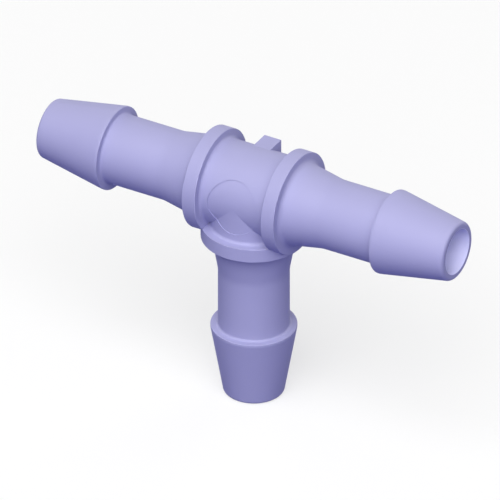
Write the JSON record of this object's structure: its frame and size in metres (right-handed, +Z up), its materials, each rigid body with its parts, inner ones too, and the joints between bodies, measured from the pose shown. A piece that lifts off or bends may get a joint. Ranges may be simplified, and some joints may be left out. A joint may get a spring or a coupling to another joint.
{
  "type": "hose barb tee",
  "caption": "Moulded plastic tee that joins flexible hoses end to end and to a side branch, with a barb, a plain neck and a stop collar on each arm.",
  "frame": {"origin": "centre of the branch's flat open end, on which the tee stands; the bores cross at Z = 0.022 m", "axes": "+X along the run's bore, towards one of its two equal ends; +Z up the branch's bore, from its open end to the run; +Y towards the side with the small moulding pad"},
  "size_m": [0.044, 0.01, 0.027],
  "materials": {
    "plastic": "smooth moulded plastic, pale lavender"
  },
  "bodies": {
    "root": {"tee": "plastic"}
  },
  "joints": []
}
